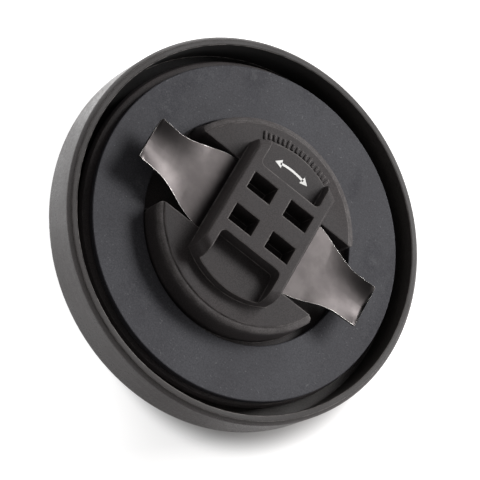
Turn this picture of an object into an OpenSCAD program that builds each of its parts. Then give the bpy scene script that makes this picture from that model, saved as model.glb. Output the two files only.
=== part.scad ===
// Twist-lock oil filler cap, in millimetres.
// It lies on its grip with the locking plug up. The Z axis is the cap's own axis, and z = 0 is
// the flat resting face of the grip. Heights called drop are measured down from the rim's lip.

/* [Neck] */
// Bore of the filler neck that the hub enters; the whole cap is built out from it
neck_d = 50; // [46:0.2:54]
// Gap on the radius between the hub and the neck's bore
neck_gap = 0.6; // [0.4:0.05:1]

/* [Cover] */
// Height of the rim, from the edge of the outer face to the lip
rim_h = 11; // [9.5:0.25:15]
// Wall of the rim at the lip
rim_t = 2; // [1.6:0.1:2.6]
// Wall of the outer face and of the hollow grip
face_t = 2.2; // [1.6:0.1:2.6]
// Rise of the coned outer face at its middle
dome_h = 1.5; // [0.5:0.25:2.5]
// Diameter of the flat middle of the outer face
dome_flat_d = 40; // [30:1:50]
// Radius of the edge between the rim and the outer face
edge_r = 1.5; // [0.75:0.25:2]
// Width of the bevel outside the lip
lip_bevel_w = 0.8; // [0.4:0.1:1.2]
// Height of the bevel outside the lip
lip_bevel_h = 1; // [0.5:0.1:1.5]

/* [Grip] */
// Distance from the rim's outside to each end of the bar, at the resting face
grip_inset = 8; // [5:0.5:14]
// Height of the bar grip, from the edge of the outer face to the resting face
grip_h = 11; // [8:0.5:16]
// Width of the resting face at the ends of the bar
grip_w = 18; // [15:0.5:22]
// Width of the resting face at the waist of the bar
grip_waist_w = 13; // [11:0.5:14.5]
// Slope of the bar's flanks and ends, in degrees from upright
grip_slope = 9; // [5:1:12]
// Bevel along the edges of the resting face
grip_bevel = 1.2; // [0.5:0.1:2]
// Radius of the finger hollows in the bar's flanks
finger_r = 46; // [36:1:60]

/* [Locking plug] */
// Width of the channel between the flange and the rim
flange_gap = 2.5; // [2:0.25:4]
// Width of the flange outside the hub
flange_w = 14.1; // [12:0.1:16]
// Thickness of the flange
flange_t = 1.8; // [1.5:0.1:2.4]
// Drop of the flange's upper face below the lip
flange_drop = 3.4; // [2.8:0.1:4]
// Width of the sloped edge round the flange
flange_bevel_w = 1.4; // [0.6:0.1:1.6]
// Height of the hub above the flange
hub_h = 7.3; // [6.8:0.1:9]
// How much the hub's radius shrinks from the flange to the shoulder
hub_draft = 0.4; // [0:0.1:0.8]
// Width of the rounded shoulder of the hub
hub_round_w = 1.5; // [0.8:0.1:2]
// Height of the rounded shoulder of the hub
hub_round_h = 1; // [0.5:0.1:1.5]
// Height of the step from the shoulder up to the hub's flat top
hub_step_h = 0.2; // [0.1:0.05:0.4]
// Wall of the hollow hub
hub_t = 2; // [1.6:0.1:2.4]
// Radius of the hub's upright corners beside the slot's mouths
mouth_r = 1.4; // [0.6:0.1:2]
// Distance from the flange's edge in to the skirt that holds the plug in the cover
skirt_inset = 5.5; // [4.5:0.25:7]
// Wall of the skirt and of the ring round it
skirt_t = 2; // [1.6:0.1:2.4]

/* [Post] */
// Width of the post across its two flats, at the top
post_w = 21.2; // [20.4:0.2:22]
// Height of the post above the hub
post_h = 5.7; // [5:0.1:8]
// Width of the hub's flat top outside the post's round ends
post_ledge = 4.4; // [4.2:0.05:5.2]
// How much each side of the post leans out from top to hub
post_draft = 0.4; // [0:0.1:0.6]
// Bevel along the top edges of the two flats
post_edge = 0.4; // [0.2:0.1:0.6]
// Width of the rounding over each round end
post_round_w = 2.4; // [2:0.1:3]
// Depth of the end pockets
pocket_h = 3.6; // [2.6:0.1:4.2]
// Width of the end pockets
pocket_w = 16.2; // [14:0.2:17]
// Radius of the end pockets' inner corners
pocket_r = 1.2; // [0.5:0.1:2]
// Width of the bridge that the windows pierce, from end pocket to end pocket
bridge_w = 17.8; // [16.6:0.2:18.4]
// Size of a window across the post
window_w = 6.4; // [5:0.1:7]
// Size of a window along the post
window_l = 4.4; // [3.5:0.1:5]
// Spacing of the windows across the post
window_pitch_w = 10.1; // [9:0.1:11]
// Spacing of the windows along the post
window_pitch_l = 8.7; // [7.5:0.1:9.5]

/* [Leaf spring] */
// How far each wing reaches out past the hub's foot
wing_reach = 6; // [4:0.1:8]
// Width of the strip where it passes through the hub
leaf_w = 18.7; // [16:0.1:19.5]
// Width at the wing tips
tip_w = 10.7; // [8:0.1:13]
// Thickness of the sheet
leaf_t = 0.6; // [0.4:0.05:0.8]
// Drop of the strip's upper face below the top of the hub
leaf_drop = 0.5; // [0.3:0.1:1.2]
// Where a wing starts to narrow, measured from the middle of the cap
narrow_start = 11.5; // [11:0.25:14]
// Length of the tip that keeps its width
tip_l = 4.9; // [3.5:0.1:8]
// Length of the wing's part with curled edges
curl_l = 13.4; // [10:0.2:16]
// How far the edges have curled up at the tip
curl_h = 1.3; // [0.4:0.1:2.2]
// Radius of the tip corners
tip_r = 0.9; // [0.3:0.1:1.5]

/* [Seal ring] */
// Width of the flange that shows outside the ring
seal_inset = 1.2; // [1:0.1:2.5]
// Thickness of the ring
seal_t = 1.8; // [1.2:0.1:2.4]
// Play of the ring round the hub, on the radius
seal_play = 0.75; // [0.3:0.05:0.9]

/* [Fits] */
// Gap on the radius between the skirt and the ring round it
skirt_gap = 0.15; // [0.1:0.05:0.25]
// Height of the bead that snaps the skirt into the cover
bead_h = 0.4; // [0.2:0.1:0.6]
// Gap between each edge of the leaf and the hub's slot
slot_gap = 0.25; // [0.15:0.05:0.4]
// Gap between the leaf and the bridge above it
bridge_gap = 0.3; // [0.2:0.05:0.4]

/* [Hidden] */
$fn = 96;
cut = 1; // how far a cutting shape runs past the face that it cuts
plastic = [0.30, 0.28, 0.275];
steel = [0.62, 0.60, 0.58];
rubber = [0.27, 0.27, 0.29];

// Heights
face_z = grip_h;
lip_z = face_z + rim_h;
floor_z = face_z + face_t;
flange_z = lip_z - flange_drop;
seat_z = flange_z - flange_t;
hub_z = flange_z + hub_h;
post_z = hub_z + post_h;
pocket_z = post_z - pocket_h;
leaf_z = hub_z - leaf_drop;
leaf_under_z = leaf_z - leaf_t;
bridge_z = leaf_z + bridge_gap;

// Radii and half widths
hub_r = neck_d / 2 - neck_gap;
flange_r = hub_r + flange_w;
rim_in_r = flange_r + flange_gap;
cover_r = rim_in_r + rim_t;
dome_flat_r = dome_flat_d / 2;
grip_end_r = cover_r - grip_inset;
hub_core_r = hub_r - hub_draft - hub_t;
skirt_r = flange_r - skirt_inset;
ring_in_r = skirt_r + skirt_gap;
post_r = hub_r - hub_draft - hub_round_w - post_ledge;
slot_w = leaf_w + 2 * slot_gap;
seal_r = flange_r - seal_inset;
seal_in_r = hub_r + seal_play;
seal_side_gap = 0.1; // what is left of the play where the ring has slid to one side
seal_shift = seal_play - seal_side_gap;

// Height of the outer face at a radius, and its outline from the axis out to a radius
function dome_z(r) = face_z - dome_h * (1 - max(r - dome_flat_r, 0) / (cover_r - dome_flat_r));
function dome_points(out_r, rise) = [for (r = [0, dome_flat_r, out_r]) [r, dome_z(r) + rise]];

// Outline of a rounding w wide and h high that goes from the outer side at out_r up to high_z
round_steps = 5;
function rounding(out_r, high_z, w, h) = [for (i = [0 : round_steps])
    let (a = 90 * i / round_steps) [out_r - w + w * cos(a), high_z - h + h * sin(a)]];

// A solid ring, or a disc if in_r is zero
module ring(out_r, in_r, low_z, high_z) {
    translate([0, 0, low_z]) difference() {
        cylinder(r = out_r, h = high_z - low_z);
        if (in_r > 0) translate([0, 0, -cut]) cylinder(r = in_r, h = high_z - low_z + 2 * cut);
    }
}

// A box from low to high, centred on the Z axis across and along
module slab(w, l, low_z, high_z) {
    translate([-w / 2, -l / 2, low_z]) cube([w, l, high_z - low_z]);
}

// A length that runs along X, with its outline drawn across it
module along_bar() {
    rotate([90, 0, 90]) translate([0, 0, -cover_r]) linear_extrude(height = 2 * cover_r) children();
}

// The bar of the grip: leaning flanks and ends, and a hollow for the fingers on each side
module bar(high_z) {
    lean = tan(grip_slope);
    foot = grip_w / 2;
    root = foot + lean * high_z;
    difference() {
        intersection() {
            along_bar() polygon([[-foot, 0], [foot, 0], [root, high_z], [-root, high_z]]);
            cylinder(r1 = grip_end_r, r2 = grip_end_r + lean * high_z, h = high_z);
        }
        for (side = [-1, 1]) translate([0, side * (grip_waist_w / 2 + finger_r), -cut])
            cylinder(r1 = finger_r + lean * cut, r2 = finger_r - lean * high_z, h = high_z + cut);
    }
}

// How far the bar runs into the wall of the outer face
bar_sink = 0.75 * face_t;
// Hollow of the grip: how far it reaches along the bar, and its wider part in each end
hollow_end_x = grip_end_r - 1.5 * face_t;
end_hollow_l = 12;

// What the bevels take off round the grip's resting face
module grip_bevels() {
    b = grip_bevel;
    half = grip_w / 2;
    for (side = [-1, 1]) along_bar()
        polygon([[side * (half - b), -cut], [side * (half - b), 0], [side * (half + b), 2 * b],
            [side * (half + b), -cut]]);
    rotate_extrude() polygon([[grip_end_r - b, -cut], [grip_end_r - b, 0], [grip_end_r + b, 2 * b],
        [grip_end_r + b, -cut]]);
    for (side = [-1, 1]) translate([0, side * (grip_waist_w / 2 + finger_r), -cut])
        cylinder(r1 = finger_r + b + cut, r2 = finger_r - b, h = 2 * b + cut);
}

module cover() {
    color(plastic) union() {
        difference() {
            union() {
                // face, rim, rounded edge and bevelled lip in one turned outline
                rotate_extrude() difference() {
                    polygon(concat(dome_points(cover_r, 0),
                        [[cover_r, lip_z - lip_bevel_h], [cover_r - lip_bevel_w, lip_z], [0, lip_z]]));
                    translate([cover_r - edge_r, face_z - cut]) difference() {
                        square([edge_r + cut, edge_r + cut]);
                        translate([0, edge_r + cut]) circle(r = edge_r);
                    }
                }
                bar(dome_z(0) + bar_sink);
            }
            // inside of the rim and of the domed face
            rotate_extrude() polygon(concat(dome_points(rim_in_r, face_t),
                [[rim_in_r, lip_z + cut], [0, lip_z + cut]]));
            // hollow of the grip: as wide as the waist allows, and wider in both ends
            slab(2 * hollow_end_x, grip_waist_w - 2 * face_t, face_t, floor_z + cut);
            for (end = [-1, 1]) translate([end * (hollow_end_x - end_hollow_l / 2), 0, 0])
                slab(end_hollow_l, grip_w - 2 * face_t, face_t, floor_z + cut);
            grip_bevels();
        }
        // ring that the plug's skirt snaps into and its flange rests on
        difference() {
            ring(ring_in_r + skirt_t, ring_in_r, floor_z - face_t / 2, seat_z);
            rotate_extrude() translate([ring_in_r, bead_z]) circle(r = bead_h + skirt_gap);
        }
    }
}

// Height of the snap bead, midway up the skirt
bead_z = (floor_z + seat_z) / 2;
// Gap between the skirt's foot and the cover's face
foot_gap = 0.4;

// Round end shape shared by the post: upright part, then the rounding up to its top
module post_round() {
    rotate_extrude() polygon(concat([[0, flange_z], [post_r + post_draft, flange_z]],
        rounding(post_r, post_z, post_round_w, pocket_h), [[0, post_z]]));
}

module post() {
    difference() {
        intersection() {
            post_round();
            // the two flats lean out by the draft
            rotate([90, 0, 0]) translate([0, 0, -2 * post_r])
                linear_extrude(height = 4 * post_r) polygon([
                    [-post_w / 2 - post_draft, flange_z],
                    [post_w / 2 + post_draft, flange_z],
                    [post_w / 2, post_z - post_edge],
                    [post_w / 2 - post_edge, post_z],
                    [post_edge - post_w / 2, post_z],
                    [-post_w / 2, post_z - post_edge]]);
        }
        for (end = [-1, 1]) {
            // end pocket with rounded inner corners, open at the round end
            translate([0, end * (bridge_w / 2 + pocket_r), pocket_z]) {
                slab(pocket_w - 2 * pocket_r, 2 * pocket_r, 0, pocket_h + cut);
                for (side = [-1, 1]) translate([side * (pocket_w / 2 - pocket_r), 0, 0])
                    cylinder(r = pocket_r, h = pocket_h + cut);
                translate([0, end * post_r, 0]) slab(pocket_w, 2 * post_r, 0, pocket_h + cut);
            }
            for (row = [-1, 1])
                translate([end * window_pitch_w / 2, row * window_pitch_l / 2, 0])
                    slab(window_w, window_l, leaf_z, post_z + cut);
        }
    }
}

module hub_round() {
    rotate_extrude() polygon(concat([[0, flange_z], [hub_r, flange_z]],
        rounding(hub_r - hub_draft, hub_z - hub_step_h, hub_round_w, hub_round_h),
        [[hub_r - hub_draft - hub_round_w, hub_z], [0, hub_z]]));
}

// What rounds the hub's four upright corners beside the slot's mouths
module mouth_corners() {
    y = slot_w / 2 + mouth_r;
    reach = hub_r - hub_draft / 2 - mouth_r; // from the axis to the middle of the rounding
    turn = asin(y / reach);
    x = reach * cos(turn);
    out = 2 * mouth_r;
    for (side = [-1, 1], end = [-1, 1]) scale([side, end, 1]) translate([0, 0, flange_z])
        linear_extrude(height = hub_h + cut) difference() {
            polygon([[x, y], [x, y - mouth_r], [x + out, y - mouth_r],
                [x + out * cos(turn), y + out * sin(turn)]]);
            translate([x, y]) circle(r = mouth_r);
        }
}

// One of the two hollows behind the hub, on the side given by end
module hub_hollow(end) {
    wall_y = slot_w / 2 + hub_t;
    difference() {
        union() {
            ring(hub_core_r, 0, seat_z - cut, hub_z - hub_t);
            // deeper under the end pocket, so that the post's end has an even wall
            intersection() {
                ring(post_r - hub_t, 0, hub_z - hub_t - cut, pocket_z - hub_t);
                slab(pocket_w - hub_t, 2 * post_r, hub_z - hub_t - cut, pocket_z - hub_t);
            }
        }
        translate([0, end * (wall_y - 2 * hub_r), 0])
            slab(2 * hub_r + cut, 4 * hub_r, seat_z - 2 * cut, post_z);
    }
}

// Ribs across the slot, which the leaf lies on, and the pin that keeps it central
seat_rib_w = 1.8;
seat_rib_x = 7;
pin_d = 3;
pin_gap = 0.2;
pin_foot_w = 1;
pin_drop = 0.1; // the pin's end stays below the leaf's upper face

module locking_plug() {
    color(plastic) union() {
        difference() {
            union() {
                // flange with its sloped edge
                rotate_extrude() polygon([
                    [0, seat_z],
                    [flange_r, seat_z],
                    [flange_r, seat_z + flange_t / 3],
                    [flange_r - flange_bevel_w / 3, flange_z - flange_t / 6],
                    [flange_r - flange_bevel_w, flange_z],
                    [0, flange_z]]);
                hub_round();
                post();
            }
            // slot for the leaf: open across the hub, bridged by the post
            difference() {
                slab(2 * hub_r + cut, slot_w, flange_z, hub_z + cut);
                slab(post_w + 2 * post_draft, slot_w, bridge_z, hub_z + cut);
            }
            mouth_corners();
            for (end = [-1, 1]) hub_hollow(end);
        }
        for (side = [-1, 1]) translate([side * seat_rib_x, 0, 0])
            slab(seat_rib_w, slot_w + hub_t, flange_z - flange_t / 2, leaf_under_z);
        ring(pin_d / 2 + pin_foot_w, 0, flange_z - flange_t / 2, leaf_under_z);
        ring(pin_d / 2, 0, leaf_under_z - cut, leaf_z - pin_drop);
        // skirt with its snap bead
        ring(skirt_r, skirt_r - skirt_t, floor_z + foot_gap, seat_z + flange_t / 2);
        rotate_extrude() translate([skirt_r, bead_z]) intersection() {
            circle(r = bead_h);
            translate([-bead_h / 2, -bead_h]) square([2 * bead_h, 2 * bead_h]);
        }
    }
}

// Leaf spring: cross strips along its length, flat in the hub and curled up at the wings' edges
wing_steps = 22;
leaf_across = 8;
curl_power = 1.3; // above 1, so that the curl starts gently along the wing
corner_step = 18; // degrees round the tip corner
half_l = hub_r + wing_reach;
corner_x = half_l - tip_r;
narrow_end = half_l - tip_l;
curl_start = half_l - curl_l;
function smooth(t) = t * t * (3 - 2 * t);
function share(x, from, to) = min(max((x - from) / (to - from), 0), 1);
function half_w(x) = tip_w / 2 + (leaf_w - tip_w) / 2 * (1 - smooth(share(x, narrow_start, narrow_end)))
    - corner(x);
// what the rounded tip corner takes off the half width
function corner(x) = x < corner_x ? 0 : tip_r - sqrt(max(pow(tip_r, 2) - pow(x - corner_x, 2), 0));
function curl(x, y) = curl_h * pow(share(x, curl_start, half_l), curl_power) * pow(2 * y / tip_w, 2);
// stations along one wing: even steps, then closer ones round the corner
wing_x = concat(
    [for (i = [0 : wing_steps]) narrow_start + (corner_x - narrow_start) * i / wing_steps],
    [for (a = [corner_step : corner_step : 90]) corner_x + tip_r * sin(a)]);
leaf_x = concat([for (i = [len(wing_x) - 1 : -1 : 0]) -wing_x[i]], wing_x);

function section(x) = [for (under = [0, 1]) for (i = [0 : leaf_across])
    let (y = half_w(abs(x)) * (under == 0 ? 1 : -1) * (1 - 2 * i / leaf_across))
    [x, y, leaf_z - under * leaf_t + curl(abs(x), y)]];

module leaf_spring() {
    ring_n = 2 * (leaf_across + 1);
    points = [for (x = leaf_x) each section(x)];
    last = (len(leaf_x) - 1) * ring_n;
    color(steel) difference() {
        polyhedron(points, concat(
            [[for (i = [ring_n - 1 : -1 : 0]) i]],
            [for (s = [0 : len(leaf_x) - 2]) for (i = [0 : ring_n - 1])
                let (a = s * ring_n, j = (i + 1) % ring_n)
                [a + i, a + j, a + ring_n + j, a + ring_n + i]],
            [[for (i = [0 : ring_n - 1]) last + i]]), convexity = 4);
        // hole over the plug's pin
        ring(pin_d / 2 + pin_gap, 0, leaf_under_z - cut, leaf_z + cut);
    }
}

module seal_ring() {
    color(rubber) translate([seal_shift, 0, 0])
        ring(seal_r, seal_in_r, flange_z, flange_z + seal_t);
}

cover();
locking_plug();
leaf_spring();
seal_ring();
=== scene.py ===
import math
import bpy
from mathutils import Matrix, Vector


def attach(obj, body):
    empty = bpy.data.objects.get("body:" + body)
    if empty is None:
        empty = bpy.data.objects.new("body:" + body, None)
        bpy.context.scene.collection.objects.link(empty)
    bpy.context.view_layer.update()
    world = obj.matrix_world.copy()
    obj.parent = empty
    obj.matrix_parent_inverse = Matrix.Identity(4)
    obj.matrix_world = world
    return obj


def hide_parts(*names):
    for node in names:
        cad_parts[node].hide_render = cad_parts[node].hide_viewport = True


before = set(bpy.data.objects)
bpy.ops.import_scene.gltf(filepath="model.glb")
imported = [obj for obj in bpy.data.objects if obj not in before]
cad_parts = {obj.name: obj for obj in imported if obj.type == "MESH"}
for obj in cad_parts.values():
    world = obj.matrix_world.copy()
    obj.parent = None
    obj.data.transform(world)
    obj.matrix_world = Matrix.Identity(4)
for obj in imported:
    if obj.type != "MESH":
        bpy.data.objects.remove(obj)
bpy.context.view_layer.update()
millimetre = 0.001
print("frame loaded")

# how the CAD nodes' copies are cleaned and shaded
mergeDistance = 0.002 * millimetre
flatAngle = 0.6        # degrees: faces that meet flatter than this become one
smoothAngle = 34       # degrees: edges flatter than this are shaded smooth
faceWeight = 90        # how much the large faces rule the shading of the bevels
bevelSamples = 8       # rays of the materials' rounded edges


# small helpers for modelling by hand

def deselectAll():
    if bpy.context.object and bpy.context.object.mode != "OBJECT":
        bpy.ops.object.mode_set(mode="OBJECT")
    bpy.ops.object.select_all(action="DESELECT")


def makeActive(piece):
    deselectAll()
    piece.select_set(True)
    bpy.context.view_layer.objects.active = piece


def applyModifier(piece, kind, **values):
    makeActive(piece)
    modifier = piece.modifiers.new(kind.title(), kind)
    for key, value in values.items():
        setattr(modifier, key, value)
    bpy.ops.object.modifier_apply(modifier=modifier.name)


def settle(piece):
    makeActive(piece)
    bpy.ops.object.transform_apply(location=True, rotation=True, scale=True)


def copyOfNode(nodeName, pieceName):
    # merged copy of a CAD node, which stays in the node's own place
    piece = bpy.data.objects.new(pieceName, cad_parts[nodeName].data.copy())
    bpy.context.scene.collection.objects.link(piece)
    makeActive(piece)
    bpy.ops.object.mode_set(mode="EDIT")
    bpy.ops.mesh.select_all(action="SELECT")
    bpy.ops.mesh.remove_doubles(threshold=mergeDistance)
    bpy.ops.mesh.dissolve_limited(angle_limit=math.radians(flatAngle))
    bpy.ops.object.mode_set(mode="OBJECT")
    return piece


def softenEdges(piece, settings):
    applyModifier(piece, "BEVEL", width=settings["edge"], segments=settings["segments"],
                  limit_method="ANGLE", angle_limit=math.radians(settings["sharper"]),
                  harden_normals=False, use_clamp_overlap=True)
    makeActive(piece)
    bpy.ops.object.shade_smooth_by_angle(angle=math.radians(smoothAngle))
    applyModifier(piece, "WEIGHTED_NORMAL", mode="FACE_AREA", weight=faceWeight, keep_sharp=True)


def finishPiece(piece, slotName, material, *replacedNodes):
    piece.data.materials.clear()
    piece.data.materials.append(material)
    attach(piece, "root")
    if replacedNodes:
        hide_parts(*replacedNodes)


# node helpers for the materials

class Shader:
    def __init__(self, name):
        self.material = bpy.data.materials.new(name)
        self.material.use_nodes = True
        self.tree = self.material.node_tree
        self.tree.nodes.clear()
        self.output = self.add("ShaderNodeOutputMaterial")
        self.surface = self.add("ShaderNodeBsdfPrincipled")
        self.link(self.surface.outputs[0], self.output.inputs["Surface"])
        self.place = self.add("ShaderNodeTexCoord").outputs["Object"]

    def add(self, kind, **values):
        node = self.tree.nodes.new(kind)
        for key, value in values.items():
            setattr(node, key, value)
        return node

    def link(self, source, socket):
        self.tree.links.new(source, socket)

    def feed(self, socket, value):
        # a node's output is linked, anything else is set on the socket
        if isinstance(value, bpy.types.NodeSocket):
            self.link(value, socket)
        else:
            socket.default_value = value

    def put(self, node, **values):
        for key, value in values.items():
            self.feed(node.inputs[key.replace("_", " ")], value)
        return node

    def noise(self, scale, detail=3, roughness=0.55, stretch=None):
        source = self.place
        if stretch:
            mapping = self.add("ShaderNodeMapping")
            self.link(self.place, mapping.inputs["Vector"])
            mapping.inputs["Scale"].default_value = stretch
            source = mapping.outputs[0]
        node = self.add("ShaderNodeTexNoise")
        self.put(node, Vector=source, Scale=scale, Detail=detail, Roughness=roughness)
        return node.outputs["Fac"]

    def ramp(self, factor, low, high, least=0.0, most=1.0):
        node = self.add("ShaderNodeMapRange")
        node.interpolation_type = "SMOOTHSTEP"
        self.put(node, Value=factor, From_Min=low, From_Max=high, To_Min=least, To_Max=most)
        return node.outputs["Result"]

    def layer(self, low, high, least=0.0, most=1.0, **noise):
        # a noise pattern that goes from least to most between two of its own levels
        return self.ramp(self.noise(**noise), low, high, least, most)

    def mixColour(self, factor, first, second, blend="MIX"):
        node = self.add("ShaderNodeMix", data_type="RGBA", blend_type=blend)
        for number, value in ((0, factor), (6, first), (7, second)):    # the node's colour sockets
            self.feed(node.inputs[number], value)
        return node.outputs[2]

    def math(self, kind, first, second):
        node = self.add("ShaderNodeMath", operation=kind)
        self.feed(node.inputs[0], first)
        self.feed(node.inputs[1], second)
        return node.outputs[0]

    def product(self, *factors):
        result = factors[0]
        for factor in factors[1:]:
            result = self.math("MULTIPLY", result, factor)
        return result

    def vectorMath(self, kind, first, second=None):
        node = self.add("ShaderNodeVectorMath", operation=kind)
        self.feed(node.inputs[0], first)
        if second is not None:
            self.feed(node.inputs[1], second)
        return node.outputs["Vector" if kind == "MULTIPLY" else "Value"]

    def along(self, degrees):
        # how far a point lies in a direction in plan, given round from +X
        turn = math.radians(degrees)
        return self.vectorMath("DOT_PRODUCT", self.place, (math.cos(turn), math.sin(turn), 0))

    def fromAxis(self):
        return self.vectorMath("LENGTH", self.vectorMath("MULTIPLY", self.place, (1, 1, 0)))

    def height(self):
        split = self.add("ShaderNodeSeparateXYZ")
        self.link(self.place, split.inputs[0])
        return split.outputs["Z"]

    def bump(self, height, strength, distance, before=None):
        node = self.add("ShaderNodeBump")
        self.put(node, Height=height, Strength=strength, Distance=distance)
        if before:
            self.link(before, node.inputs["Normal"])
        return node.outputs[0]

    def rounded(self, radius):
        node = self.add("ShaderNodeBevel", samples=bevelSamples)
        node.inputs["Radius"].default_value = radius
        return node.outputs[0]

    def edges(self, radius, full, none):
        # 1 on an edge and 0 away from it, by how far the rounded normal and the true one agree
        true = self.add("ShaderNodeNewGeometry").outputs["Normal"]
        return self.ramp(self.vectorMath("DOT_PRODUCT", self.rounded(radius), true), none, full)


def rgba(colour):
    return (*colour, 1.0)


# black plastic of the two mouldings

plasticLook = {
    "colour": (0.043, 0.038, 0.0385),
    "dustAndPaintedLight": (0.058, 0.051, 0.051),
    # edge is a paler colour on the edges: partly wear, partly a painted highlight
    "edge": (0.270, 0.248, 0.240),
    "roughness": (0.50, 0.64),
    "specular": 0.15,
    "rounding": 0.5 * millimetre,
    "cloud": dict(scale=55, detail=4, low=0.35, high=0.70),
    "specks": dict(scale=900, roughness=0.7, low=0.60, high=0.72, most=0.25),
    "fleck": dict(scale=3600, detail=2, roughness=0.6, low=0.35, high=0.65, least=0.80, most=1.22),
    "wearAndHighlightRadius": 0.5 * millimetre,
    "wearAndHighlightRange": (0.84, 0.995),        # how far the normals agree where the paler edge is full and where there is none
    "wearAndHighlightPatches": dict(scale=420, low=0.35, high=0.62, least=0.25),
    "wearAndHighlight": 0.70,
    "grain": dict(scale=5200, detail=2, roughness=0.5),
    "grainStrength": 0.5,
    "grainDepth": 0.012 * millimetre,
    "swell": dict(scale=260, detail=2),
    "swellStrength": 0.25,
    "swellDepth": 0.05 * millimetre,
}
shoulderLook = {
    "start": (22.3 * millimetre, 23.0 * millimetre),   # out from the axis, where the pale band starts
    "end": (24.3 * millimetre, 23.8 * millimetre),     # and where it ends
    "foot": (23.6 * millimetre, 24.7 * millimetre),    # up from the resting face
    "colour": (0.138, 0.128, 0.127),
    "patches": dict(scale=300, low=0.30, high=0.65, least=0.4),
    "paleness": 0.55,
}
coverLook = dict(
    plasticLook,
    colour=(0.034, 0.030, 0.029),
    dustAndPaintedLight=(0.046, 0.041, 0.040),
    roughness=(0.50, 0.62),
    specular=0.36,
    rounding=0.6 * millimetre,
    wearAndHighlightRadius=0.3 * millimetre,
    wearAndHighlightRange=(0.93, 0.996),
    wearAndHighlight=0.8,
)
wallLook = {
    "outer": (42.4 * millimetre, 42.8 * millimetre),   # where the wall's scuffed look starts and is full
    "scratch": dict(scale=500, detail=4, roughness=0.7, stretch=(0.25, 0.25, 3.0),
                    low=0.45, high=0.75, least=0.35),
    "scuffed": (0.100, 0.088, 0.090),
    "mottle": dict(scale=1900, roughness=0.65, low=0.35, high=0.65, least=0.65, most=1.35),
    "polish": 0.20,                                    # how much smoother the handled wall is
    "inner": (41.3 * millimetre, 41.1 * millimetre),   # where the channel's painted shade and painted light start and are full
    "paintedShadeBearing": 170,                                   # degrees round from +X
    "paintedShadeReach": (-20 * millimetre, 25 * millimetre),  # from the painted-light side to the painted-shade one
    # colours of the channel's painted shade and of its painted light
    "paintedShade": (0.011, 0.010, 0.010),
    "dustAndPaintedLight": (0.062, 0.056, 0.053),
    "dull": 0.32,                                      # how much rougher the painted-shade side is
}


def paleShoulderBand(shader, look, colour, roughness):
    # the hub's shoulder is made paler in a patchy band round it
    radius = shader.fromAxis()
    band = shader.product(shader.ramp(radius, *look["start"]), shader.ramp(radius, *look["end"]),
                          shader.ramp(shader.height(), *look["foot"]), shader.layer(**look["patches"]),
                          look["paleness"])
    return shader.mixColour(band, colour, rgba(look["colour"])), roughness


def scuffWallsAndPaintChannelShading(shader, look, colour, roughness):
    # the outer wall is handled most: it is paler and smoother, with fine scratches round it
    radius = shader.fromAxis()
    outer = shader.ramp(radius, *look["outer"])
    scratched = shader.product(outer, shader.layer(**look["scratch"]))
    colour = shader.mixColour(scratched, colour, rgba(look["scuffed"]))
    # the channel's colour is painted: painted shade on one side and painted light on the other
    inner = shader.ramp(radius, *look["inner"])
    paintedShade = shader.ramp(shader.along(look["paintedShadeBearing"]), *look["paintedShadeReach"])
    paintedShadeAndLight = shader.mixColour(paintedShade, rgba(look["dustAndPaintedLight"]), rgba(look["paintedShade"]))
    colour = shader.mixColour(inner, colour, paintedShadeAndLight)
    roughness = shader.math("ADD", roughness, shader.product(inner, paintedShade, look["dull"]))
    polish = shader.product(outer, shader.layer(**look["mottle"]), look["polish"])
    return colour, shader.math("SUBTRACT", roughness, polish)


def makePlastic(name, look, paintRegions, regionLook):
    shader = Shader(name)
    cloud = shader.layer(**look["cloud"])
    colour = shader.mixColour(cloud, rgba(look["colour"]), rgba(look["dustAndPaintedLight"]))
    colour = shader.mixColour(shader.layer(**look["specks"]), colour, rgba(look["dustAndPaintedLight"]))
    roughness = shader.ramp(cloud, 0, 1, *look["roughness"])
    colour, roughness = paintRegions(shader, regionLook, colour, roughness)
    colour = shader.mixColour(1.0, colour, shader.layer(**look["fleck"]), "MULTIPLY")
    # the edges are made paler: partly wear, partly a painted highlight
    wornAndHighlit = shader.product(shader.edges(look["wearAndHighlightRadius"], *look["wearAndHighlightRange"]),
                          shader.layer(**look["wearAndHighlightPatches"]), look["wearAndHighlight"])
    colour = shader.mixColour(wornAndHighlit, colour, rgba(look["edge"]))
    normal = shader.bump(shader.noise(**look["swell"]), look["swellStrength"], look["swellDepth"],
                         shader.rounded(look["rounding"]))
    normal = shader.bump(shader.noise(**look["grain"]), look["grainStrength"], look["grainDepth"], normal)
    shader.put(shader.surface, Base_Color=colour, Roughness=roughness, Normal=normal,
               Specular_IOR_Level=look["specular"])
    return shader.material


# dull rubber of the ring

rubberLook = {
    "colour": (0.052, 0.051, 0.058),
    "bloom": (0.065, 0.065, 0.073),
    "dust": (0.150, 0.150, 0.155),
    "roughness": (0.54, 0.68),
    "specular": 0.15,
    "cloud": dict(scale=70, detail=5, roughness=0.6, low=0.30, high=0.72),
    "smear": dict(scale=130, roughness=0.5, stretch=(1.0, 0.35, 1.0), low=0.45, high=0.75),
    "smudge": dict(scale=620, detail=4, roughness=0.7, low=0.45, high=0.70, most=0.30),
    "specks": dict(scale=1500, detail=2, roughness=0.6, low=0.66, high=0.76, most=0.45),
    "fleck": dict(scale=3000, roughness=0.65, low=0.30, high=0.70, least=0.78, most=1.25),
    "grain": dict(scale=2600, detail=2),
    "grainStrength": 0.35,
    "grainDepth": 0.008 * millimetre,
    "swell": dict(scale=160, detail=2),
    "swellStrength": 0.2,
    "swellDepth": 0.05 * millimetre,
}


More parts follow.
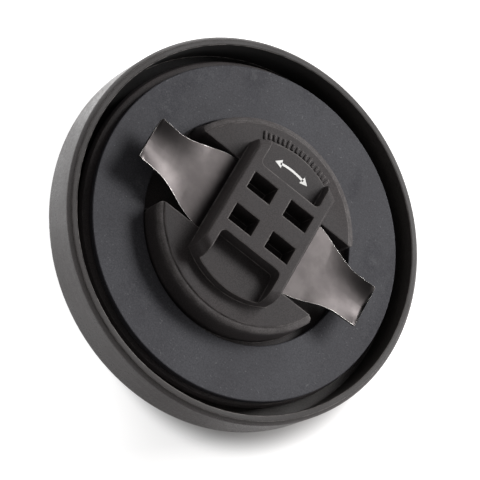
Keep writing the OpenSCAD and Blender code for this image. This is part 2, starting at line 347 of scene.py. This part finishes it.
def makeRubber(name, look):
    shader = Shader(name)
    smear = shader.layer(**look["smear"])
    colour = shader.mixColour(shader.layer(**look["cloud"]), rgba(look["colour"]), rgba(look["bloom"]))
    smudge = shader.product(smear, shader.layer(**look["smudge"]))
    colour = shader.mixColour(smudge, colour, rgba(look["dust"]))
    colour = shader.mixColour(shader.layer(**look["specks"]), colour, rgba(look["dust"]))
    colour = shader.mixColour(1.0, colour, shader.layer(**look["fleck"]), "MULTIPLY")
    normal = shader.bump(shader.noise(**look["swell"]), look["swellStrength"], look["swellDepth"])
    normal = shader.bump(shader.noise(**look["grain"]), look["grainStrength"], look["grainDepth"], normal)
    shader.put(shader.surface, Base_Color=colour, Roughness=shader.ramp(smear, 0, 1, *look["roughness"]),
               Normal=normal, Specular_IOR_Level=look["specular"])
    return shader.material


# rolled steel of the spring

steelLook = {
    "colour": (0.073, 0.066, 0.065),
    "tarnish": (0.057, 0.051, 0.051),
    # edge is bare cut metal on the edges, partly a painted highlight
    "edge": (0.85, 0.82, 0.79),
    "edgeRadius": 0.24 * millimetre,
    "edgeRange": (0.80, 0.99),         # how far the normals agree on a bright edge and off it
    "edgePatches": dict(scale=700, detail=2, low=0.40, high=0.60, least=0.35),
    "roughness": (0.34, 0.41),
    "cloud": dict(scale=110, detail=4, roughness=0.5, low=0.2, high=0.8),
    "blotch": dict(scale=330, detail=4, roughness=0.6, low=0.35, high=0.65, least=0.92, most=1.08),
    "rolled": dict(scale=900, roughness=0.6, stretch=(0.04, 1.0, 1.0)),
    "rolledStrength": 0.15,
    "rolledDepth": 0.004 * millimetre,
}


def makeSteel(name, look):
    shader = Shader(name)
    cloud = shader.layer(**look["cloud"])
    colour = shader.mixColour(cloud, rgba(look["colour"]), rgba(look["tarnish"]))
    colour = shader.mixColour(1.0, colour, shader.layer(**look["blotch"]), "MULTIPLY")
    # the edges are made bright: bare cut metal and partly a painted highlight
    bright = shader.product(shader.edges(look["edgeRadius"], *look["edgeRange"]),
                            shader.layer(**look["edgePatches"]))
    colour = shader.mixColour(bright, colour, rgba(look["edge"]))
    normal = shader.bump(shader.noise(**look["rolled"]), look["rolledStrength"], look["rolledDepth"])
    shader.put(shader.surface, Base_Color=colour, Metallic=1.0,
               Roughness=shader.ramp(cloud, 0, 1, *look["roughness"]), Normal=normal)
    return shader.material


# white print

inkLook = {
    "thin": (0.45, 0.44, 0.42),
    "full": (0.90, 0.89, 0.87),
    "cover": dict(scale=2600, roughness=0.6, low=0.30, high=0.42, least=0.75),
    "roughness": 0.5,
}


def makeInk(name, look):
    shader = Shader(name)
    colour = shader.mixColour(shader.layer(**look["cover"]), rgba(look["thin"]), rgba(look["full"]))
    shader.put(shader.surface, Base_Color=colour, Roughness=look["roughness"])
    return shader.material


plastic = makePlastic("mouldedBlackPlastic", plasticLook, paleShoulderBand, shoulderLook)
coverPlastic = makePlastic("smoothBlackPlastic", coverLook, scuffWallsAndPaintChannelShading, wallLook)
rubber = makeRubber("dullSealRubber", rubberLook)
steel = makeSteel("rolledSpringSteel", steelLook)
ink = makeInk("whitePrint", inkLook)
print("materials made")


# cover

# in each piece's settings, edge is the bevel's width and sharper the angle in degrees
# from which an edge gets that bevel
coverSettings = {"edge": 0.22 * millimetre, "segments": 3, "sharper": 24}
cover = copyOfNode("cover", "coverMoulding")
softenEdges(cover, coverSettings)
finishPiece(cover, "black_plastic", coverPlastic, "cover")
print("cover dressed")


# locking plug

plugSettings = {"edge": 0.2 * millimetre, "segments": 2, "sharper": 24}
plug = copyOfNode("locking_plug", "lockingPlugMoulding")
softenEdges(plug, plugSettings)
finishPiece(plug, "black_plastic", plastic, "locking_plug")
print("locking plug dressed")


# seal ring

sealSettings = {"edge": 0.3 * millimetre, "segments": 4, "sharper": 40}
seal = copyOfNode("seal_ring", "flatSealRing")
softenEdges(seal, sealSettings)
finishPiece(seal, "seal_rubber", rubber, "seal_ring")
print("seal ring dressed")


# leaf spring

leafSettings = {
    "edge": 0.06 * millimetre, "segments": 2, "sharper": 50,
    "tipCorner": 0.35 * millimetre,
    "tipReach": 2 * millimetre,        # how far from its end a wing is reshaped
    "cornerReach": 1 * millimetre,     # how far the node's own rounding of the corners goes
}


def sharpenTips(piece, settings):
    # the node's tip corners are rounder than the pressed sheet's, so they are pulled out to tipCorner
    radius = settings["tipCorner"]
    end = max(vertex.co.x for vertex in piece.data.vertices)
    tip = [vertex for vertex in piece.data.vertices if abs(vertex.co.x) > end - settings["tipReach"]]
    full = max(abs(vertex.co.y) for vertex in tip if abs(vertex.co.x) < end - settings["cornerReach"])
    stations = {}
    for vertex in tip:
        stations.setdefault(round(vertex.co.x / millimetre, 3), []).append(vertex)
    for place, row in stations.items():
        inward = max(radius - (end - abs(place) * millimetre), 0)
        wanted = full - radius + math.sqrt(max(radius ** 2 - inward ** 2, 0))
        grow = wanted / max(abs(vertex.co.y) for vertex in row)
        for vertex in row:
            vertex.co.y *= max(grow, 1)


leaf = copyOfNode("leaf_spring", "pressedLeafSpring")
sharpenTips(leaf, leafSettings)
softenEdges(leaf, leafSettings)
finishPiece(leaf, "spring_steel", steel, "leaf_spring")
print("leaf spring dressed")


# raised ticks on the hub's flat top

tickSettings = {
    "count": 16,
    "from": 65.0, "to": 116.0,         # degrees round from +X
    "radius": 20.1 * millimetre,
    "size": (0.66 * millimetre, 1.45 * millimetre, 0.50 * millimetre),
    "long": 1.4, "every": 5,           # every fifth tick is longer
    "edge": 0.1 * millimetre, "segments": 2,
    "smooth": 30,                      # degrees
    "base": 25.9 * millimetre,         # the hub's flat top
    "stand": 0.30 * millimetre,        # how far it stands out of that top
}


def makeTick(angle, stretch):
    wide, deep, high = tickSettings["size"]
    deselectAll()
    bpy.ops.mesh.primitive_cube_add(size=1, location=(0, 0, 0))
    tick = bpy.context.object
    tick.scale = (wide, deep * stretch, high)
    settle(tick)
    bpy.ops.object.mode_set(mode="EDIT")
    bpy.ops.mesh.select_all(action="SELECT")
    bpy.ops.mesh.bevel(offset=tickSettings["edge"], segments=tickSettings["segments"], affect="EDGES")
    bpy.ops.object.mode_set(mode="OBJECT")
    turn = math.radians(angle)
    tick.location = (tickSettings["radius"] * math.cos(turn), tickSettings["radius"] * math.sin(turn),
                     tickSettings["base"] + tickSettings["stand"] - high / 2)
    tick.rotation_euler = (0, 0, turn - math.pi / 2)
    settle(tick)
    return tick


ticks = []
for number in range(tickSettings["count"]):
    share = number / (tickSettings["count"] - 1)
    angle = tickSettings["from"] + share * (tickSettings["to"] - tickSettings["from"])
    longTick = number % tickSettings["every"] == 0
    ticks.append(makeTick(angle, tickSettings["long"] if longTick else 1.0))
deselectAll()
for tick in ticks:
    tick.select_set(True)
bpy.context.view_layer.objects.active = ticks[0]
bpy.ops.object.join()
hubTicks = bpy.context.object
hubTicks.name = "hubTicks"
bpy.ops.object.shade_smooth_by_angle(angle=math.radians(tickSettings["smooth"]))
finishPiece(hubTicks, "black_plastic", plastic)
print("ticks made")


# printed turning arrow on the floor of one end pocket

arrowSettings = {
    "radius": 14.2 * millimetre,
    "stroke": 0.55 * millimetre,
    "from": 76.0, "to": 104.0,         # degrees round from +X
    "steps": 360,                      # points in a full circle, of which the arrow keeps its part
    "head": 1.15 * millimetre,         # radius round a head's three corners
    "base": 28.0 * millimetre,         # the pocket's floor
    "thickness": 0.03 * millimetre,
}


def makeArrow():
    radius, base = arrowSettings["radius"], arrowSettings["base"]
    inside, outside = radius - arrowSettings["stroke"] / 2, radius + arrowSettings["stroke"] / 2
    deselectAll()
    bpy.ops.mesh.primitive_circle_add(vertices=arrowSettings["steps"], radius=inside, fill_type="NOTHING",
                                      location=(0, 0, base))
    arrow = bpy.context.object
    arrow.name = "turningArrow"
    settle(arrow)
    bpy.ops.object.mode_set(mode="EDIT")
    bpy.ops.mesh.select_all(action="DESELECT")
    bpy.ops.object.mode_set(mode="OBJECT")
    for vertex in arrow.data.vertices:
        angle = math.degrees(math.atan2(vertex.co.y, vertex.co.x))
        vertex.select = not arrowSettings["from"] <= angle <= arrowSettings["to"]
    bpy.ops.object.mode_set(mode="EDIT")
    bpy.ops.mesh.delete(type="VERT")
    bpy.ops.mesh.select_all(action="SELECT")
    bpy.ops.mesh.extrude_region_move()
    grow = outside / inside
    bpy.ops.transform.resize(value=(grow, grow, 1), center_override=(0, 0, base))
    bpy.ops.object.mode_set(mode="OBJECT")
    heads = []
    # a new triangle points along +Y, so at its own angle it points on round the arc
    for angle, back in ((arrowSettings["from"], math.pi), (arrowSettings["to"], 0)):
        turn = math.radians(angle)
        deselectAll()
        bpy.ops.mesh.primitive_circle_add(
            vertices=3, radius=arrowSettings["head"], fill_type="NGON",
            location=(radius * math.cos(turn), radius * math.sin(turn), base),
            rotation=(0, 0, turn - back))
        heads.append(bpy.context.object)
        settle(heads[-1])
    deselectAll()
    for head in heads:
        head.select_set(True)
    arrow.select_set(True)
    bpy.context.view_layer.objects.active = arrow
    bpy.ops.object.join()
    bpy.ops.object.mode_set(mode="EDIT")
    bpy.ops.mesh.select_all(action="SELECT")
    bpy.ops.mesh.normals_make_consistent(inside=False)
    bpy.ops.object.mode_set(mode="OBJECT")
    applyModifier(arrow, "SOLIDIFY", thickness=arrowSettings["thickness"], offset=0)
    return arrow


turningArrow = makeArrow()
finishPiece(turningArrow, "black_plastic", ink)
print("printed arrow made")


# camera, floor and light

cameraSettings = {
    "tilt": (14.36, -28.27, 30.85),    # degrees about X, Y and Z
    "offset": (-2.10, -2.60, 600.0),   # millimetres from the lip's middle, along the camera's axes
    "lipHeight": 22.0,                 # millimetres
    "focalPixels": 2783.71,
    "imagePixels": 480,
    "sensor": 36,                      # millimetres
    "nearest": 10 * millimetre,
}
camera = bpy.data.objects.new("camera", bpy.data.cameras.new("camera"))
bpy.context.scene.collection.objects.link(camera)
camera.rotation_euler = [math.radians(angle) for angle in cameraSettings["tilt"]]
camera.location = camera.rotation_euler.to_matrix() @ (Vector(cameraSettings["offset"]) * millimetre)
camera.location.z += cameraSettings["lipHeight"] * millimetre
camera.data.sensor_width = cameraSettings["sensor"]
camera.data.lens = cameraSettings["sensor"] * cameraSettings["focalPixels"] / cameraSettings["imagePixels"]
camera.data.clip_start = cameraSettings["nearest"]
bpy.context.scene.camera = camera

floorSettings = {
    "size": 6.0,                       # metres
    "colour": (0.72, 0.71, 0.705),
    "roughness": 0.9,
    "specular": 0.1,
    "glow": (1.0, 1.0, 1.0),
    "brightSide": 185,                 # degrees round from +X
    "seen": (0.70, 1.0),               # glow for the camera, on the dark side and on the bright one
    "whitens": (-12 * millimetre, 15 * millimetre),      # where it changes, towards the bright side
    "mirrored": (0.02, 2.0),           # glow in reflections, on the dark side and on the bright one
    "brightens": (-30 * millimetre, 80 * millimetre),    # where it changes, towards the bright side
    "underPlace": (12 * millimetre, -3 * millimetre, 0), # middle of the painted shadow under the cap
    "under": (0.26, 0.25, 0.247),
    "underReach": (28 * millimetre, 44 * millimetre),    # where its colour starts to fade and is gone
    "glowInPaintedShadow": 0.13,                 # share of the camera's glow in its middle, which lets the painted shadow show
    "glowReach": (31.5 * millimetre, 38.5 * millimetre), # where that share starts to grow and is full
}
deselectAll()
bpy.ops.mesh.primitive_plane_add(size=floorSettings["size"], location=(0, 0, 0))
floor = bpy.context.object
floor.name = "floor"


def makeFloor(name, look):
    # grey sheet that keeps the shadow, with a glow for the camera and for reflections, and a shadow
    # painted under the cap
    shader = Shader(name)
    away = shader.vectorMath("DISTANCE", shader.place, look["underPlace"])
    # a darker colour and less glow for the camera near the cap paint a shadow under it
    clear = shader.ramp(away, *look["underReach"])
    colour = shader.mixColour(clear, rgba(look["under"]), rgba(look["colour"]))
    shader.put(shader.surface, Base_Color=colour, Roughness=look["roughness"],
               Specular_IOR_Level=look["specular"])
    path = shader.add("ShaderNodeLightPath")
    across = shader.along(look["brightSide"])
    seen = shader.product(path.outputs["Is Camera Ray"],
                          shader.ramp(across, *look["whitens"], *look["seen"]),
                          shader.ramp(away, *look["glowReach"], look["glowInPaintedShadow"]))
    mirrored = shader.math("MAXIMUM", path.outputs["Is Glossy Ray"], path.outputs["Is Transmission Ray"])
    sheen = shader.product(mirrored, shader.ramp(across, *look["brightens"], *look["mirrored"]))
    glow = shader.add("ShaderNodeEmission")
    shader.put(glow, Color=rgba(look["glow"]), Strength=shader.math("ADD", seen, sheen))
    both = shader.add("ShaderNodeAddShader")
    shader.link(shader.surface.outputs[0], both.inputs[0])
    shader.link(glow.outputs[0], both.inputs[1])
    shader.link(both.outputs[0], shader.output.inputs["Surface"])
    return shader.material


floor.data.materials.append(makeFloor("paleFloor", floorSettings))

worldSettings = {
    "soft": 0.21,                      # strength as light
    "horizon": 1.1,                    # strength in reflections, up to the height whiteTo of a direction
    "overhead": 0.06,                  # and from the height darkFrom on
    "whiteTo": 0.15,
    "darkFrom": 0.70,
    "tint": (1.0, 0.985, 0.975),
    "seen": (1.0, 1.0, 1.0),           # colour for the camera
}


def makeWorld(look):
    # white for the camera and soft grey as light; reflections see white low down and dark overhead
    world = bpy.data.worlds.new("studio")
    world.use_nodes = True
    tree = world.node_tree
    tree.nodes.clear()
    path = tree.nodes.new("ShaderNodeLightPath")
    direction = tree.nodes.new("ShaderNodeTexCoord")
    split = tree.nodes.new("ShaderNodeSeparateXYZ")
    tree.links.new(direction.outputs["Generated"], split.inputs[0])
    sweep = tree.nodes.new("ShaderNodeMapRange")
    sweep.interpolation_type = "SMOOTHSTEP"
    tree.links.new(split.outputs["Z"], sweep.inputs["Value"])
    for socket, key in (("From Min", "whiteTo"), ("From Max", "darkFrom"), ("To Min", "horizon"),
                        ("To Max", "overhead")):
        sweep.inputs[socket].default_value = look[key]
    light, mirror, backdrop = [tree.nodes.new("ShaderNodeBackground") for number in range(3)]
    for layer, colour in ((light, "tint"), (mirror, "tint"), (backdrop, "seen")):
        layer.inputs["Color"].default_value = rgba(look[colour])
    light.inputs["Strength"].default_value = look["soft"]
    tree.links.new(sweep.outputs["Result"], mirror.inputs["Strength"])
    mirrored = tree.nodes.new("ShaderNodeMath")
    mirrored.operation = "MAXIMUM"
    tree.links.new(path.outputs["Is Glossy Ray"], mirrored.inputs[0])
    tree.links.new(path.outputs["Is Transmission Ray"], mirrored.inputs[1])
    below = light.outputs[0]
    for factor, layer in ((mirrored.outputs[0], mirror), (path.outputs["Is Camera Ray"], backdrop)):
        mix = tree.nodes.new("ShaderNodeMixShader")
        tree.links.new(factor, mix.inputs[0])
        tree.links.new(below, mix.inputs[1])
        tree.links.new(layer.outputs[0], mix.inputs[2])
        below = mix.outputs[0]
    output = tree.nodes.new("ShaderNodeOutputWorld")
    tree.links.new(below, output.inputs["Surface"])
    return world


bpy.context.scene.world = makeWorld(worldSettings)

# azimuth is in degrees round from +X in plan, elevation in degrees, distance and size in metres
lampSettings = {
    "keySoftbox": {"azimuth": 57, "elevation": 43, "distance": 0.80, "size": (0.46, 0.24), "power": 5.9},
    "sideSoftbox": {"azimuth": 15, "elevation": 22, "distance": 0.80, "size": (0.50, 0.30), "power": 2.4},
}


def addLamp(name, settings):
    lamp = bpy.data.objects.new(name, bpy.data.lights.new(name, "AREA"))
    bpy.context.scene.collection.objects.link(lamp)
    lamp.data.shape = "RECTANGLE"
    lamp.data.size, lamp.data.size_y = settings["size"]
    lamp.data.energy = settings["power"]
    turn, rise = math.radians(settings["azimuth"]), math.radians(settings["elevation"])
    direction = Vector((math.cos(turn) * math.cos(rise), math.sin(turn) * math.cos(rise), math.sin(rise)))
    aim = Vector((0, 0, cameraSettings["lipHeight"] * millimetre))
    lamp.location = direction * settings["distance"] + aim
    lamp.rotation_euler = direction.to_track_quat("Z", "Y").to_euler()


for lampName, lampSetting in lampSettings.items():
    addLamp(lampName, lampSetting)
bpy.context.scene.view_settings.view_transform = "Standard"
print("camera, floor and light set")
